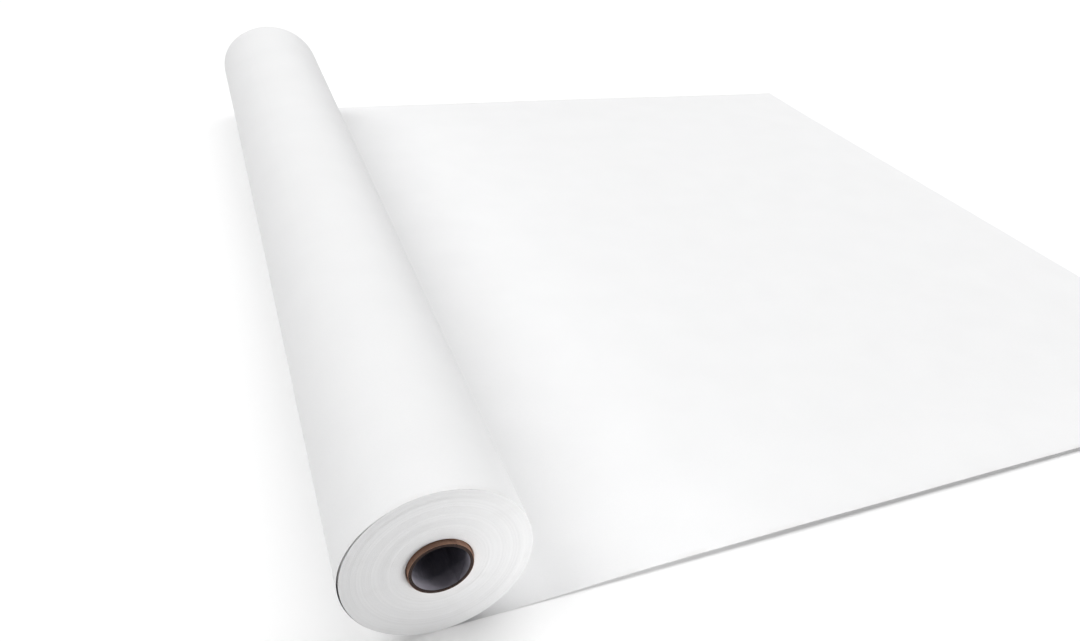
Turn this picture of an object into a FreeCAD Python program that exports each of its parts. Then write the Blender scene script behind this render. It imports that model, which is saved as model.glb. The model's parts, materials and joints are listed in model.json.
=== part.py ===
"""A bulk roll of seamless backdrop paper, lying on the floor with its first stretch unrolled.

Frame, in millimetres: the origin is on the roll's axis at mid-length. +Y runs along the axis, +Z is up,
and +X is the way the unrolled paper lies, away from the roll. The near end of the roll is the -Y end.

The roll is one web of paper wound on a spiral-wound board core. The web is made here as three solids,
because its stretches move differently: the wound pack turns with the core, the slack last lap only
travels with the roll, and the laid stretch stays on the floor.
"""

import FreeCAD, Part
import math
import os

# The paper web
WEB_WIDTH = 1372.0  # 54 inch
WEB_THICK = 0.25
PACK_DIAMETER = 165.4  # the tightly wound paper
LAID_LENGTH = 1206.0  # contact line to the free end, at mid-width
FREE_END_SKEW = 3.0  # degrees by which the hand-cut free end is out of square

# The slack last lap, from the floor up the roll's -X side. Angles count from the contact line, in degrees
LAP_CLEARANCE = 0.3  # pack to lap where the lap hugs the pack
LAP_SLACK = 1.7  # how far the lap stands off at the roll's side, beyond that clearance
LAP_LANDING = 152.0  # where the lap lies back on the pack
LAP_SHOULDER_RADIUS = 62.0  # the tighter bend that brings the lap back to the pack
LAP_FLAT = 25.0  # the lap's flat stretch on the floor, from the contact line to the laid stretch

# The spiral-wound core
CORE_BORE = 50.0
PLY_THICK = 0.4
BODY_PLIES = 6  # between the grey liner ply and the kraft face ply
CORE_PROJECTION = 5.0  # how far the core stands out of the paper at each end

# The tape tabs that hold the inner end of the web to the core
TAPE_WIDTH = 48.0  # along the core
TAPE_WRAP = 60.0  # round the core
TAPE_THICK = 0.15
TAPE_INSET = 130.0  # paper end to the middle of an outer tab
TAPE_COUNT = 3

# Worked out from the above
PLY_COUNT = BODY_PLIES + 2
CORE_RADIUS = CORE_BORE / 2 + PLY_COUNT * PLY_THICK
CORE_LENGTH = WEB_WIDTH + 2 * CORE_PROJECTION
PACK_RADIUS = PACK_DIAMETER / 2
LAP_INNER = PACK_RADIUS + LAP_CLEARANCE
FLOOR = -(LAP_INNER + WEB_THICK)
Y_AXIS = FreeCAD.Vector(0, 1, 0)


def section_point(x, z, y=-WEB_WIDTH / 2):
    """A point of a cross-section through the roll, at the near end of the paper unless y says otherwise."""
    return FreeCAD.Vector(x, y, z)


def around(centre, radius, angle):
    """(x, z) on a circle, with the angle in degrees from straight down, turning towards -X and up."""
    turn = math.radians(angle)
    return centre[0] - radius * math.sin(turn), centre[1] - radius * math.cos(turn)


def tube(inner, outer, length):
    """A tube on the roll's axis, centred on mid-length."""
    start = FreeCAD.Vector(0, -length / 2, 0)
    solid = Part.makeCylinder(outer, length, start, Y_AXIS)
    return solid.cut(Part.makeCylinder(inner, length, start, Y_AXIS))


def core_plies():
    """The plies of the core from the bore outwards, each one glued to the next."""
    names = ["core_liner_ply"]
    names += [f"core_body_ply_{number}" for number in range(1, BODY_PLIES + 1)]
    names += ["core_face_ply"]
    plies = {}
    for number, name in enumerate(names):
        inner = CORE_BORE / 2 + number * PLY_THICK
        plies[name] = tube(inner, inner + PLY_THICK, CORE_LENGTH)
    return plies


def starter_tapes():
    """The tabs of tape on the core's outside, spaced evenly along it."""
    span = WEB_WIDTH - 2 * TAPE_INSET
    wrap_angle = math.degrees(TAPE_WRAP / CORE_RADIUS)
    tabs = []
    for number in range(TAPE_COUNT):
        middle = -span / 2 + number * span / (TAPE_COUNT - 1)
        near, far = middle - TAPE_WIDTH / 2, middle + TAPE_WIDTH / 2
        low, high = CORE_RADIUS, CORE_RADIUS + TAPE_THICK
        corners = [(low, near), (high, near), (high, far), (low, far), (low, near)]
        outline = Part.makePolygon([section_point(0, z, y) for z, y in corners])
        tabs.append(Part.Face(outline).revolve(FreeCAD.Vector(0, 0, 0), Y_AXIS, wrap_angle))
    return Part.makeCompound(tabs)


def paper_pack(tapes):
    """The wound paper, a tight pack on the core that bulges over the tape tabs."""
    return tube(CORE_RADIUS, PACK_RADIUS, WEB_WIDTH).cut(tapes)


def lap_joints():
    """The slack lap's inner line: centres of its two arcs, and the angles where one stretch meets the next.

    The first arc starts flat on the floor at the contact line. It is wider than the pack, so it stands off
    more and more. The shoulder arc turns it back, and a straight stretch ends it tangent to the pack.
    """
    side_radius = LAP_INNER + LAP_SLACK
    side_centre = (0.0, LAP_SLACK)
    out = around((0, 0), 1.0, LAP_LANDING)  # unit vector from the axis to the landing
    back = (-out[1], out[0])  # unit vector along the straight stretch, away from the landing
    reach = side_radius - LAP_SHOULDER_RADIUS
    inset = LAP_INNER - LAP_SHOULDER_RADIUS
    rise = inset - side_centre[1] * out[1]
    along = side_centre[1] * back[1] + math.sqrt(reach**2 - rise**2)
    shoulder_centre = (inset * out[0] + along * back[0], inset * out[1] + along * back[1])
    lean = math.atan2(side_centre[0] - shoulder_centre[0], side_centre[1] - shoulder_centre[1])
    return side_centre, side_radius, shoulder_centre, math.degrees(lean)


def lap_line(offset):
    """Edges of the lap from its flat start to its landing, offset outwards from its inner line."""
    side_centre, side_radius, shoulder_centre, meet = lap_joints()
    side, shoulder = side_radius + offset, LAP_SHOULDER_RADIUS + offset
    flat = section_point(LAP_FLAT, -LAP_INNER - offset)
    contact = section_point(*around(side_centre, side, 0))
    side_middle = section_point(*around(side_centre, side, meet / 2))
    joint = section_point(*around(side_centre, side, meet))
    shoulder_middle = section_point(*around(shoulder_centre, shoulder, (meet + LAP_LANDING) / 2))
    straight = section_point(*around(shoulder_centre, shoulder, LAP_LANDING))
    landing = section_point(*around((0, 0), LAP_INNER + offset, LAP_LANDING))
    return [
        Part.LineSegment(flat, contact).toShape(),
        Part.Arc(contact, side_middle, joint).toShape(),
        Part.Arc(joint, shoulder_middle, straight).toShape(),
        Part.LineSegment(straight, landing).toShape(),
    ]


def paper_slack_lap():
    """The last lap of the web, standing slightly off the pack and running out flat on the floor."""
    inner, outer = lap_line(0.0), lap_line(WEB_THICK)
    start = Part.LineSegment(outer[0].firstVertex().Point, inner[0].firstVertex().Point).toShape()
    end = Part.LineSegment(inner[-1].lastVertex().Point, outer[-1].lastVertex().Point).toShape()
    outline = Part.Wire(Part.__sortEdges__([start, *inner, end, *outer]))
    return Part.Face(outline).extrude(Y_AXIS * WEB_WIDTH)


def paper_laid():
    """The unrolled paper flat on the floor, up to its hand-cut free end."""
    half = WEB_WIDTH / 2
    lean = half * math.tan(math.radians(FREE_END_SKEW))
    corners = [
        (LAP_FLAT, -half),
        (LAID_LENGTH + lean, -half),
        (LAID_LENGTH - lean, half),
        (LAP_FLAT, half),
        (LAP_FLAT, -half),
    ]
    outline = Part.makePolygon([section_point(x, FLOOR, y) for x, y in corners])
    return Part.Face(outline).extrude(FreeCAD.Vector(0, 0, WEB_THICK))


def main():
    tapes = starter_tapes()
    pieces = core_plies()
    pieces["starter_tapes"] = tapes
    pieces["paper_pack"] = paper_pack(tapes)
    pieces["paper_slack_lap"] = paper_slack_lap()
    pieces["paper_laid"] = paper_laid()
    os.makedirs("parts", exist_ok=True)
    for name, shape in pieces.items():
        if not shape.isValid():
            raise ValueError(f"{name} is not a valid shape")
        shape.exportStep(os.path.join("parts", name + ".step"))
        print(f"{name}: {len(shape.Solids)} solid(s), {shape.Volume / 1000:.1f} cm3")


main()
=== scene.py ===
"""The looks of a backdrop paper roll that lies on the floor with its first stretch unrolled.

Everything is in metres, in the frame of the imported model: +Y along the roll's axis, +Z up, and +X the way
the unrolled paper lies. The near end of the roll is its -Y end.
"""

import bpy
import json
import math
import numpy as np
from mathutils import Matrix, Vector


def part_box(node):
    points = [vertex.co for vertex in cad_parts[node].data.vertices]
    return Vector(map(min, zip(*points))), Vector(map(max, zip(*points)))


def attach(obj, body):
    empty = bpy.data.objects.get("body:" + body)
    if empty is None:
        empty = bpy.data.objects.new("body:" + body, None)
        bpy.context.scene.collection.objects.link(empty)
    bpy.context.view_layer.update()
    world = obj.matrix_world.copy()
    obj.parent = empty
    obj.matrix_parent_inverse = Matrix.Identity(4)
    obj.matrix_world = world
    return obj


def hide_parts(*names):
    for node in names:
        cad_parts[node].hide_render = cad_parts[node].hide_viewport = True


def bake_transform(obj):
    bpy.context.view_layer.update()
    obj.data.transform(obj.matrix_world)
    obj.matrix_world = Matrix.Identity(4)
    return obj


MM = 0.001

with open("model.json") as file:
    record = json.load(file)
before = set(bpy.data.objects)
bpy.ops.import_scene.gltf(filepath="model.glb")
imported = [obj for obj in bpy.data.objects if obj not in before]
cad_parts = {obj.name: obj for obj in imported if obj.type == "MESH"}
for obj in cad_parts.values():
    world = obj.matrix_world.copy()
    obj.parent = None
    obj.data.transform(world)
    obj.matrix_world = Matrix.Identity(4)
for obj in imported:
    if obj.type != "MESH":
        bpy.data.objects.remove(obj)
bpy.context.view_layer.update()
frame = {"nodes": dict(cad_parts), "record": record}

# Places and sizes from the frame
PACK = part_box("paper_pack")
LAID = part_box("paper_laid")
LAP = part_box("paper_slack_lap")
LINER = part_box("core_liner_ply")
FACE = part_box("core_face_ply")
FLOOR = LAID[0].z
HALF_WIDTH = PACK[1].y
CORE_RADIUS = FACE[1].z
CORE_HALF = FACE[1].y
BORE = next(mount for mount in frame["record"]["mounts"] if mount["name"] == "core_bore")
BORE_RADIUS = BORE["dims"]["r_mm"] * MM
WEB_THICK = LAID[1].z - LAID[0].z
LAP_END = LAP[1].x  # where the travelling lap meets the laid paper
NEAR_CORNER_X = LAID[1].x
BODY_PLIES = sorted(node for node in frame["nodes"] if node.startswith("core_body_ply"))

# The wound paper
WEB_GAP = 0.05 * MM  # between the pack and the web round it
PACK_RADIUS = -FLOOR - WEB_THICK - WEB_GAP
PACK_SEGMENTS = 192
PACK_SIDE_ROWS = 15
RIM_SUPPORT = 0.5 * MM  # from each rim to the side's next row, short so that the shading stays even
RING_PITCH = 0.5 * MM  # two laps to a modelled ring
RING_DEPTH = 0.05 * MM
RIM_ROUND = 0.15 * MM
END_WAVES = [(0.22 * MM, 1.3, 0.15), (0.1 * MM, 4.1, 0.0)]  # depth, number from core to rim, start
LAPS_MOVED = 6  # points of the end's profile from one shift of a group of laps to the next
LAPS_SHIFT = 0.035 * MM  # how far groups of laps stand proud or short
LAP_SHIFT = 0.018 * MM  # the same for single laps
CORE_FIT = 0.2 * MM  # core to the first lap
END_RECESS = 3.0 * MM  # how far the first laps sit back from the ends
END_RECESS_WIDTH = 0.6 * MM

# The core's plies: strips wound in a helix
SEAM_PITCH = 128 * MM
SEAM_GAP = 0.5 * MM
SEAM_START = 32  # degrees round from the bottom, for the innermost ply
SEAM_STEP = 120  # degrees from one ply's seam to the next one's
STRIP_ROWS = 112  # to a turn
STRIP_POINT = 0.6 * MM  # the width at which a strip's pointed ends are cut off
STRIP_ROUND = 0.06 * MM
PLY_UNEVEN, PLY_TURN = 0.12 * MM, 2.3  # how far a ply's ends stand proud or short, and how it varies

# The slack last lap
LAP_LANDING = math.radians(152)
LAP_SLACK = 1.7 * MM
LAP_SKEW = 2.1  # above 1 moves the widest part of the slack up the roll's side
LAP_TAPER = math.radians(7)
LAP_THIN = 0.08  # share of the web's thickness left where the lap meets the pack
LAP_SINK = 0.03 * MM  # how much of WEB_GAP it gives up there
LAP_ROWS = 90
SLACK_MEAN, SLACK_SWING = 0.82, 0.18  # the slack is least half way along the roll, and most at its ends
SLACK_WAVE = 2.1 * HALF_WIDTH

# The laid paper
FREE_END_SKEW = math.radians(3)
NEAR_EDGE_LIFT = 5 * MM
FAR_EDGE_LIFT = 1.5 * MM
EDGE_LIFT_WIDTH = 80 * MM
EDGE_LIFT_FALL = 1.5  # above 1 keeps the lift nearer the edge
EDGE_WAVES = [(0.05, 95 * MM, 1.1), (0.03, 41 * MM, 2)]  # share of the lift, length, shift between the edges
LIFT_START = 220 * MM  # from the roll to where the paper is free to lift in full
END_LIFT = 1.5 * MM
END_LIFT_WIDTH = 120 * MM
END_LIFT_MEAN, END_LIFT_SWING = 0.75, 0.25
END_LIFT_WAVE, END_LIFT_SHIFT = 210 * MM, 0.6
SWAY = 0.5 * MM  # the laid paper's own unevenness
SWAY_ALONG, SWAY_ACROSS = 130 * MM, 260 * MM
CUT_WANDER = 0.35 * MM  # how far the hand-cut free end strays from its line
CUT_SHORT_WAVE, CUT_LONG_WAVE = 17 * MM, 61 * MM
LAID_ROWS = 150
WEB_COLUMNS = 113

# The studio
FLOOR_HALF = 14.0
FLOOR_GAP = 0.02 * MM  # keeps the floor clear of the paper's underside
FLOOR_GLOW = 0.17
SURROUND_LIGHT = 0.08  # the white surround's light on things; the camera sees it white
SUNS = [  # name, a place in the direction that it shines from, strength, width in degrees
    ("overhead_wide", (0.42, 0.5, 1.0), 2.2, 65),
    ("overhead_left", (-0.75, 0.35, 1.0), 1.51, 40),
]
END_FILL_PLACE = (0.2, -0.92, FLOOR + 0.01)
END_FILL_TARGET = (0.0, -0.69, 0.0)
END_FILL_POWER = 0.8
END_FILL_SIZE = 0.16

# The camera
SENSOR_WIDTH = 36.0
LENS = 30.3
SHIFT_X = -0.1317
HEADING, DIP, ROLL = math.radians(30.43), math.radians(31.13), math.radians(8.23)
CAMERA_PLACE = (-0.1246, -1.2447, FLOOR + 0.6892)


# ---------------------------------------------------------------------------------------------- meshes


def mesh_object(name, points, faces, materials, face_material=None, sharp=40):
    """An object from arrays of points and faces. face_material gives each face's index in materials."""
    mesh = bpy.data.meshes.new(name)
    mesh.from_pydata([tuple(p) for p in points], [], [tuple(int(i) for i in f) for f in faces])
    for material in materials:
        mesh.materials.append(material)
    if face_material is not None:
        mesh.polygons.foreach_set("material_index", np.asarray(face_material, np.int32))
    mesh.polygons.foreach_set("use_smooth", [True] * len(mesh.polygons))
    mesh.set_sharp_from_angle(angle=math.radians(sharp))
    mesh.validate()
    mesh.update()
    made = bpy.data.objects.new(name, mesh)
    bpy.context.scene.collection.objects.link(made)
    return made


def grid_faces(rows, columns, wrap_rows=False, wrap_columns=False):
    """Quads of a grid of points numbered row by row."""
    r = np.arange(rows if wrap_rows else rows - 1)
    c = np.arange(columns if wrap_columns else columns - 1)
    r, c = (a.ravel() for a in np.meshgrid(r, c, indexing="ij"))
    r2, c2 = (r + 1) % rows, (c + 1) % columns
    return np.stack([r * columns + c, r * columns + c2, r2 * columns + c2, r2 * columns + c], axis=1)


def revolve(name, profile, segments, materials, span_material):
    """A closed ring about the Y axis. profile is its section's outline as (radius, y) points, in order, and
    span_material gives the index in materials of the band from each point to the next."""
    profile = np.array(profile)
    turn = np.linspace(0, 2 * math.pi, segments, endpoint=False)
    radius, along = profile[:, 0][:, None], profile[:, 1][:, None]
    points = np.stack([radius * np.sin(turn), along + 0 * turn, -radius * np.cos(turn)], axis=2)
    faces = grid_faces(len(profile), segments, wrap_rows=True, wrap_columns=True)
    return mesh_object(name, points.reshape(-1, 3), faces, materials, np.repeat(span_material, segments))


# ------------------------------------------------------------------------------------------- materials


class Shader:
    """A material whose surface is one Principled shader, and short ways to add nodes that feed it."""

    def __init__(self, name, specular=0.3):
        self.material = bpy.data.materials.new(name)
        self.material.use_nodes = True
        self.tree = self.material.node_tree
        self.surface = self.tree.nodes["Principled BSDF"]
        self.surface.inputs["Specular IOR Level"].default_value = specular
        self.place = self.tree.nodes.new("ShaderNodeTexCoord").outputs["Object"]

    def _feed(self, socket, value):
        if isinstance(value, bpy.types.NodeSocket):
            self.tree.links.new(value, socket)
        else:
            socket.default_value = value

    def math(self, operation, a, b=0.0):
        node = self.tree.nodes.new("ShaderNodeMath")
        node.operation = operation
        self._feed(node.inputs[0], a)
        self._feed(node.inputs[1], b)
        return node.outputs[0]

    def noise(self, scale, detail=3.0, place=None):
        node = self.tree.nodes.new("ShaderNodeTexNoise")
        self._feed(node.inputs["Vector"], place or self.place)
        node.inputs["Scale"].default_value = scale
        node.inputs["Detail"].default_value = detail
        return node.outputs["Fac"]

    def stretched(self, x, y, z):
        """The place, scaled differently along each axis, for grain."""
        node = self.tree.nodes.new("ShaderNodeMapping")
        self._feed(node.inputs["Vector"], self.place)
        node.inputs["Scale"].default_value = (x, y, z)
        return node.outputs[0]

    def xyz(self):
        node = self.tree.nodes.new("ShaderNodeSeparateXYZ")
        self._feed(node.inputs[0], self.place)
        return node.outputs

    def joined(self, x, y=0.0, z=0.0):
        node = self.tree.nodes.new("ShaderNodeCombineXYZ")
        for socket, value in zip(node.inputs, (x, y, z)):
            self._feed(socket, value)
        return node.outputs[0]

    def spread(self, value, low, high, to_low=0.0, to_high=1.0):
        """value, from low to high, made to run from to_low to to_high and no further."""
        node = self.tree.nodes.new("ShaderNodeMapRange")
        for socket, number in zip(node.inputs, (value, low, high, to_low, to_high)):
            self._feed(socket, number)
        return node.outputs[0]

    def mix(self, share, a, b):
        node = self.tree.nodes.new("ShaderNodeMix")
        node.data_type = "RGBA"
        self._feed(node.inputs["Factor"], share)
        self._feed(node.inputs[6], a)
        self._feed(node.inputs[7], b)
        return node.outputs[2]

    def bump(self, height, depth, below=None):
        node = self.tree.nodes.new("ShaderNodeBump")
        node.inputs["Strength"].default_value = 1.0
        node.inputs["Distance"].default_value = depth
        self._feed(node.inputs["Height"], height)
        if below is not None:
            self._feed(node.inputs["Normal"], below)
        return node.outputs[0]

    def finish(self, colour, roughness, normal):
        self._feed(self.surface.inputs["Base Color"], colour)
        self._feed(self.surface.inputs["Roughness"], roughness)
        self._feed(self.surface.inputs["Normal"], normal)
        return self.material


def rgb(red, green, blue):
    return (red, green, blue, 1.0)


def paper_material():
    """Uncoated white paper: cloudy formation, fine fibres, faint greying where its edges are handled."""
    s = Shader("white_paper", specular=0.25)
    thin, dense = rgb(0.882, 0.882, 0.885), rgb(0.9, 0.9, 0.903)
    fibre_grey, handled_grey = rgb(0.84, 0.845, 0.85), rgb(0.62, 0.6, 0.57)
    cloud = s.noise(14.0, 4.0)
    fibre = s.noise(1.0, 4.0, s.stretched(700.0, 1100.0, 900.0))
    colour = s.mix(s.spread(cloud, 0.3, 0.7), thin, dense)
    colour = s.mix(s.spread(fibre, 0.35, 0.75, 0.0, 0.5), colour, fibre_grey)
    from_edge = s.math("SUBTRACT", HALF_WIDTH, s.math("ABSOLUTE", s.xyz()[1]))
    edge = s.spread(from_edge, 0.0, 7 * MM, 1.0, 0.0)
    handled = s.math("MULTIPLY", edge, s.spread(s.noise(45.0, 5.0), 0.4, 0.75))
    colour = s.mix(s.math("MULTIPLY", handled, 0.35), colour, handled_grey)
    roughness = s.spread(fibre, 0.3, 0.7, 0.78, 0.92)
    cockle = s.bump(s.noise(22.0, 2.0), 0.25 * MM)
    return s.finish(colour, roughness, s.bump(fibre, 0.035 * MM, cockle))


def cut_edges_material():
    """The end of the roll: the cut edges of its laps, a spiral finer than the modelled rings."""
    s = Shader("cut_paper_edges", specular=0.2)
    dull, bright = rgb(0.825, 0.825, 0.828), rgb(0.885, 0.885, 0.888)
    groove_shade_grey, dust_grey = rgb(0.66, 0.66, 0.665), rgb(0.76, 0.755, 0.745)
    # painted shade for the gap round the core
    core_gap_shade = rgb(0.09, 0.05, 0.04)
    x, _, z = s.xyz()
    radius = s.math("SQRT", s.math("ADD", s.math("MULTIPLY", x, x), s.math("MULTIPLY", z, z)))
    turn = s.math("DIVIDE", s.math("ARCTAN2", z, x), 2 * math.pi)
    lap = s.math("FRACT", s.math("ADD", s.math("DIVIDE", radius, WEB_THICK), turn))
    groove = s.spread(s.math("ABSOLUTE", s.math("SUBTRACT", lap, 0.5)), 0.3, 0.5)
    band = s.noise(1.0, 5.0, s.joined(s.math("MULTIPLY", radius, 420.0)))
    dust = s.noise(60.0, 5.0)
    colour = s.mix(s.spread(band, 0.3, 0.7), dull, bright)
    # painted shade: the fine gaps between laps are greyed along the spiral
    colour = s.mix(s.math("MULTIPLY", groove, 0.25), colour, groove_shade_grey)
    colour = s.mix(s.spread(dust, 0.55, 0.8, 0.0, 0.35), colour, dust_grey)
    # painted shade: the laps next to the core are coloured near black, for the shaded gap between core and
    # paper
    shade_by_core = s.spread(radius, CORE_RADIUS + 0.3 * MM, CORE_RADIUS + 0.8 * MM, 0.95, 0.0)
    colour = s.mix(shade_by_core, colour, core_gap_shade)
    height = s.math("ADD", s.math("MULTIPLY", band, 2.0), s.math("MULTIPLY", groove, -0.3))
    return s.finish(colour, s.spread(dust, 0.3, 0.7, 0.82, 0.95), s.bump(height, 0.06 * MM))


CUT_BOARD = rgb(0.035, 0.02, 0.017)


def board_material(name, light, dark, fleck, painted_mouth_light=None):
    """Recycled board: long fibres, cloudy colour and scattered flecks. Where the colour for the ends is
    given, the board is painted lighter with it near its ends: painted light, where light reaches into the
    tube's bore; and its cut ends are dark."""
    s = Shader(name, specular=0.3)
    cloud = s.noise(55.0, 4.0)
    fibre = s.noise(1.0, 5.0, s.stretched(900.0, 120.0, 900.0))
    colour = s.mix(s.spread(cloud, 0.3, 0.7), dark, light)
    colour = s.mix(s.spread(fibre, 0.45, 0.8, 0.0, 0.6), colour, fleck)
    colour = s.mix(s.spread(s.noise(1700.0, 2.0), 0.68, 0.74, 0.0, 0.7), colour, fleck)
    if painted_mouth_light:
        from_end = s.math("SUBTRACT", CORE_HALF, s.math("ABSOLUTE", s.xyz()[1]))
        uneven = s.math("ADD", from_end, s.spread(cloud, 0.3, 0.7, -6 * MM, 6 * MM))
        # painted light: lighter towards the tube's ends, where light reaches into the bore
        colour = s.mix(s.spread(uneven, 2 * MM, 20 * MM, 1.0, 0.0), colour, painted_mouth_light)
        cut_end = s.spread(from_end, 0.3 * MM, 0.6 * MM, 1.0, 0.0)
        colour = s.mix(cut_end, colour, CUT_BOARD)
    roughness = s.spread(cloud, 0.3, 0.7, 0.62, 0.8)
    return s.finish(colour, roughness, s.bump(fibre, 0.08 * MM))


def tape_material():
    """Creped masking tape."""
    s = Shader("masking_tape", specular=0.35)
    crepe = s.noise(1.0, 3.0, s.stretched(300.0, 2200.0, 300.0))
    shaded_valley, ridge = rgb(0.62, 0.5, 0.3), rgb(0.72, 0.61, 0.4)
    # painted shade: the crepe's valleys are coloured darker than its ridges
    colour = s.mix(s.spread(crepe, 0.3, 0.7), shaded_valley, ridge)
    return s.finish(colour, s.spread(crepe, 0.3, 0.7, 0.55, 0.75), s.bump(crepe, 0.08 * MM))


def floor_material():
    """A plain near-white floor."""
    s = Shader("studio_floor", specular=0.0)
    cloud = s.noise(3.0, 2.0)
    colour = s.mix(cloud, rgb(0.84, 0.84, 0.84), rgb(0.86, 0.86, 0.86))
    s.surface.inputs["Emission Color"].default_value = rgb(1, 1, 1)
    s.surface.inputs["Emission Strength"].default_value = FLOOR_GLOW
    return s.finish(colour, 1.0, s.bump(cloud, 0.01 * MM))


PAPER = paper_material()
CUT_EDGES = cut_edges_material()
LINER_BOARD = board_material(
    "grey_liner_board",
    light=rgb(0.13, 0.124, 0.147),
    dark=rgb(0.085, 0.082, 0.1),
    fleck=rgb(0.17, 0.162, 0.187),
    # the lighter colour near the tube's ends is painted light, for light reaching into the bore
    painted_mouth_light=rgb(0.42, 0.4, 0.455),
)
CORE_BOARD = board_material(
    "brown_core_board",
    light=rgb(0.045, 0.023, 0.018),
    dark=rgb(0.02, 0.011, 0.009),
    fleck=rgb(0.1, 0.06, 0.045),
)
KRAFT = board_material(
    "kraft_face_board",
    light=rgb(0.34, 0.19, 0.132),
    dark=rgb(0.245, 0.132, 0.09),
    fleck=rgb(0.42, 0.265, 0.19),
)
TAPE = tape_material()


# -------------------------------------------------------------------------------------- the wound paper


def end_profile(rng):
    """(radius, how far the paper's end stands out) from the core to the rim: rings of laps, wound by hand
    and machine, so that some stand a little proud of the others."""
    inner, outer = CORE_RADIUS + CORE_FIT, PACK_RADIUS - RIM_ROUND
    count = int((outer - inner) / RING_PITCH)
    radii = np.linspace(inner, outer, 2 * count + 1)
    share = (radii - inner) / (outer - inner)
    slow = sum(depth * np.sin(2 * math.pi * (waves * share + start)) for depth, waves, start in END_WAVES)
    moved = radii[::LAPS_MOVED]
    per_ring = np.interp(radii, moved, rng.normal(0, LAPS_SHIFT, len(moved)))
    single = rng.normal(0, LAP_SHIFT, len(radii))
    groove = np.where(np.arange(len(radii)) % 2 == 0, -RING_DEPTH, 0.0)
    pulled_in = -END_RECESS * np.exp(-(((radii - inner) / END_RECESS_WIDTH) ** 2))
    return np.stack([radii, slow + per_ring + single + groove + pulled_in], axis=1)


def wound_paper():
    """The tight pack: its outer surface, the rings of its two ends, and the hole that the core fills."""
    rng = np.random.default_rng(11)
    near, far = end_profile(rng), end_profile(rng)
    near_end = [(r, -HALF_WIDTH - out) for r, out in near]
    far_end = [(r, HALF_WIDTH + out) for r, out in far[::-1]]
    rim = HALF_WIDTH - RIM_ROUND
    inner_rows = np.linspace(RIM_SUPPORT - rim, rim - RIM_SUPPORT, PACK_SIDE_ROWS)
    side = [(PACK_RADIUS, y) for y in [-rim, *inner_rows, rim]]
    profile = near_end + side + far_end
    span_material = [1] * len(near_end) + [0] * (len(side) - 1) + [1] * len(far_end) + [1]
    made = revolve("wound_paper", profile, PACK_SEGMENTS, [PAPER, CUT_EDGES], span_material)
    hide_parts("paper_pack")
    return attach(made, "roll")


# --------------------------------------------------------------------------------------- the paper web


def slack(angle, y):
    """How far the last lap stands off the pack, at an angle from the contact line and a place along it."""
    share = np.clip(angle / LAP_LANDING, 0, 1)
    along = SLACK_MEAN + SLACK_SWING * np.cos(2 * math.pi * y / SLACK_WAVE + math.pi)
    return LAP_SLACK * np.sin(math.pi * share**LAP_SKEW) ** 2 * along


def lift(x, y, end_x):
    """How far the laid paper is off the floor: a little along its side edges, and more at its free end."""
    from_side = HALF_WIDTH - np.abs(y)
    clear_of_roll = np.clip((x - LAP_END) / LIFT_START, 0, 1)
    clear_of_roll = clear_of_roll**2 * (3 - 2 * clear_of_roll)
    wave = 1
    for share, length, shift in EDGE_WAVES:
        wave = wave + share * np.sin(x / length + shift * np.sign(y))
    near_side = np.exp(-((from_side / EDGE_LIFT_WIDTH) ** EDGE_LIFT_FALL))
    side = np.where(y < 0, NEAR_EDGE_LIFT, FAR_EDGE_LIFT) * near_side * wave * clear_of_roll
    to_end = (end_x - x) / END_LIFT_WIDTH
    end_share = END_LIFT_MEAN + END_LIFT_SWING * np.cos(y / END_LIFT_WAVE + END_LIFT_SHIFT)
    end = END_LIFT * np.clip(1 - to_end, 0, 1) ** 2 * end_share
    sway = SWAY * (1 + np.sin(x / SWAY_ALONG + y / SWAY_ACROSS)) * clear_of_roll
    return side + end + sway


def web_points():
    """The web's centre points in rows along Y, from the landing on the roll to the free end, their normals,
    and each row's share of the web's thickness."""
    y = np.linspace(-HALF_WIDTH, HALF_WIDTH, WEB_COLUMNS)
    centre_radius = PACK_RADIUS + WEB_THICK / 2 + WEB_GAP
    angles = np.linspace(LAP_LANDING, 0, LAP_ROWS)[:, None]
    landing = np.clip((LAP_LANDING - angles) / LAP_TAPER, 0, 1)
    radius = centre_radius - (WEB_THICK / 2 + LAP_SINK) * (1 - landing) + slack(angles, y)
    curved = np.stack([-radius * np.sin(angles), y + 0 * angles, -radius * np.cos(angles)], axis=2)
    share = np.linspace(0, 1, LAID_ROWS)[1:, None]
    end_x = NEAR_CORNER_X - (y + HALF_WIDTH) * math.tan(FREE_END_SKEW)
    end_x = end_x + CUT_WANDER * np.sin(y / CUT_SHORT_WAVE) * np.sin(y / CUT_LONG_WAVE)
    x = end_x * share
    z = FLOOR + WEB_THICK / 2 + lift(x, y, end_x)
    flat = np.stack([x, y + 0 * x, z], axis=2)
    points = np.concatenate([curved, flat])
    along = np.gradient(points, axis=0)
    across = np.gradient(points, axis=1)
    normals = np.cross(along, across)
    normals /= np.linalg.norm(normals, axis=2, keepdims=True)
    taper = np.ones(len(points))
    taper[: len(angles)] = LAP_THIN + (1 - LAP_THIN) * landing[:, 0]
    return points, normals, taper


def paper_web():
    """The slack lap and the laid paper, one continuous web with its real thickness."""
    points, normals, taper = web_points()
    rows, columns, _ = points.shape
    half = (WEB_THICK / 2) * taper[:, None, None] * normals
    upper, lower = (points - half).reshape(-1, 3), (points + half).reshape(-1, 3)
    count = rows * columns
    top = grid_faces(rows, columns)
    bottom = top[:, ::-1] + count
    numbers = np.arange(count).reshape(rows, columns)
    rim = np.concatenate([numbers[0], numbers[1:, -1], numbers[-1, -2::-1], numbers[-2:0:-1, 0]])
    after = np.roll(rim, -1)
    sides = np.stack([rim, rim + count, after + count, after], axis=1)
    faces = np.concatenate([top, bottom, sides])
    made = mesh_object("paper_web", np.concatenate([upper, lower]), faces, [PAPER])
    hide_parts("paper_laid", "paper_slack_lap")
    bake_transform(made)
    return made


# -------------------------------------------------------------------------------------------- the core


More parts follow.
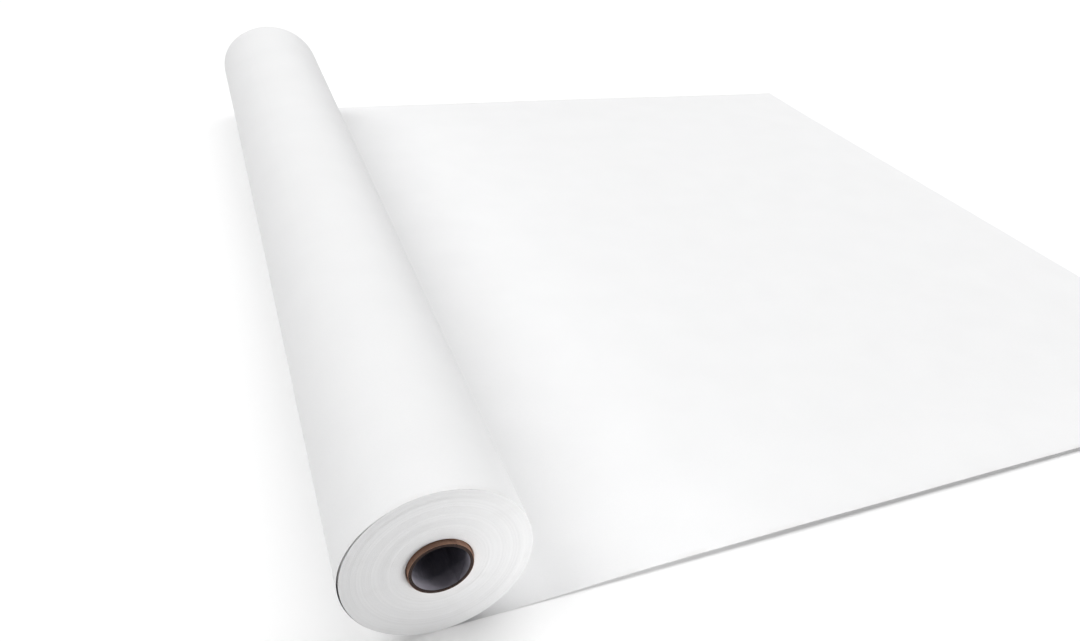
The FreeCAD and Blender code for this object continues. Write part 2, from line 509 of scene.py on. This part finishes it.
def wound_strip(name, inner, outer, end_out, start, material):
    """A ply of the core: a strip of board wound in a helix with a narrow open seam, and cut at the tube's
    two ends. start is the angle at which the seam comes out of the near end."""
    half = CORE_HALF + end_out
    first, last = STRIP_POINT, 2 * half + SEAM_PITCH - SEAM_GAP - STRIP_POINT
    rows = int((last - first) / SEAM_PITCH * STRIP_ROWS)
    travel = np.linspace(first, last, rows)
    low = np.clip(travel - SEAM_PITCH + SEAM_GAP, 0, 2 * half) - half
    high = np.clip(travel, 0, 2 * half) - half
    soft = np.minimum(STRIP_ROUND, (high - low) / 3)
    thin = STRIP_ROUND
    section = [
        (inner, low + soft),
        (inner + thin, low),
        (outer - thin, low),
        (outer, low + soft),
        (outer, high - soft),
        (outer - thin, high),
        (inner + thin, high),
        (inner, high - soft),
    ]
    turn = start + 2 * math.pi * travel / SEAM_PITCH
    corners = [np.stack([r * np.sin(turn), y, -r * np.cos(turn)], axis=1) for r, y in section]
    points = np.stack(corners, axis=1).reshape(-1, 3)
    sides = grid_faces(rows, len(section), wrap_columns=True).tolist()
    caps = [list(range(len(section)))[::-1], list(range(len(points) - len(section), len(points)))]
    return mesh_object(name, points, sides + caps, [material], sharp=50)


def core():
    """Eight plies of board, each wound with its seam a third of a turn from that of the ply below it."""
    nodes = ["core_liner_ply", *BODY_PLIES, "core_face_ply"]
    slots = ["liner_board", *["core_board"] * len(BODY_PLIES), "kraft_face"]
    materials = [LINER_BOARD, *[CORE_BOARD] * len(BODY_PLIES), KRAFT]
    step = (CORE_RADIUS - BORE_RADIUS) / len(nodes)
    for number, (node, slot, material) in enumerate(zip(nodes, slots, materials)):
        inner = BORE_RADIUS + number * step
        end_out = PLY_UNEVEN * math.sin(PLY_TURN * number)
        start = math.radians(SEAM_START + SEAM_STEP * number)
        made = wound_strip(node + "_board", inner, inner + step, end_out, start, material)
        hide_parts(node)
        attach(made, "roll")


# ------------------------------------------------------------------------------- floor, light and camera


def studio():
    """A plain pale floor, a white surround, broad light from above and a little low light on the near end."""
    corners = [(-1, -1), (1, -1), (1, 1), (-1, 1)]
    points = [(x * FLOOR_HALF, y * FLOOR_HALF, FLOOR - FLOOR_GAP) for x, y in corners]
    ground = mesh_object("studio_floor", points, [(0, 1, 2, 3)], [floor_material()])
    world = bpy.data.worlds.new("white_surround")
    world.use_nodes = True
    nodes = world.node_tree.nodes
    surround = nodes["Background"].inputs
    surround["Color"].default_value = rgb(1, 1, 1)
    seen = nodes.new("ShaderNodeMath")
    seen.operation = "MAXIMUM"
    seen.inputs[1].default_value = SURROUND_LIGHT
    to_camera = nodes.new("ShaderNodeLightPath").outputs["Is Camera Ray"]
    world.node_tree.links.new(to_camera, seen.inputs[0])
    world.node_tree.links.new(seen.outputs[0], surround["Strength"])
    bpy.context.scene.world = world
    for name, place, strength, width in SUNS:
        light(name, "SUN", place, (0, 0, 0), strength).angle = math.radians(width)
    light("end_fill", "AREA", END_FILL_PLACE, END_FILL_TARGET, END_FILL_POWER).size = END_FILL_SIZE


def light(name, kind, place, target, power):
    """A light at a place, turned to shine at a target. Returns its data, for its width or size."""
    data = bpy.data.lights.new(name, kind)
    data.energy = power
    made = bpy.data.objects.new(name, data)
    made.location = place
    made.rotation_euler = (Vector(target) - Vector(place)).to_track_quat("-Z", "Y").to_euler()
    made.visible_camera = False
    bpy.context.scene.collection.objects.link(made)
    return data


def camera():
    """In front of the roll's near end and above it, looking along the roll and over the laid paper."""
    data = bpy.data.cameras.new("camera")
    data.sensor_width = SENSOR_WIDTH
    data.lens = LENS
    data.shift_x = SHIFT_X
    made = bpy.data.objects.new("camera", data)
    turn = Matrix.Rotation(-HEADING, 3, "Z") @ Matrix.Rotation(math.pi / 2 - DIP, 3, "X")
    made.rotation_euler = (turn @ Matrix.Rotation(ROLL, 3, "Z")).to_euler()
    made.location = CAMERA_PLACE
    bpy.context.scene.collection.objects.link(made)
    bpy.context.scene.camera = made
    bpy.context.scene.view_settings.view_transform = "Standard"


camera()
studio()
wound_paper()
paper_web()
core()
tape_slots = frame["nodes"]["starter_tapes"].data.materials
tape_slots.clear()
tape_slots.append(TAPE)
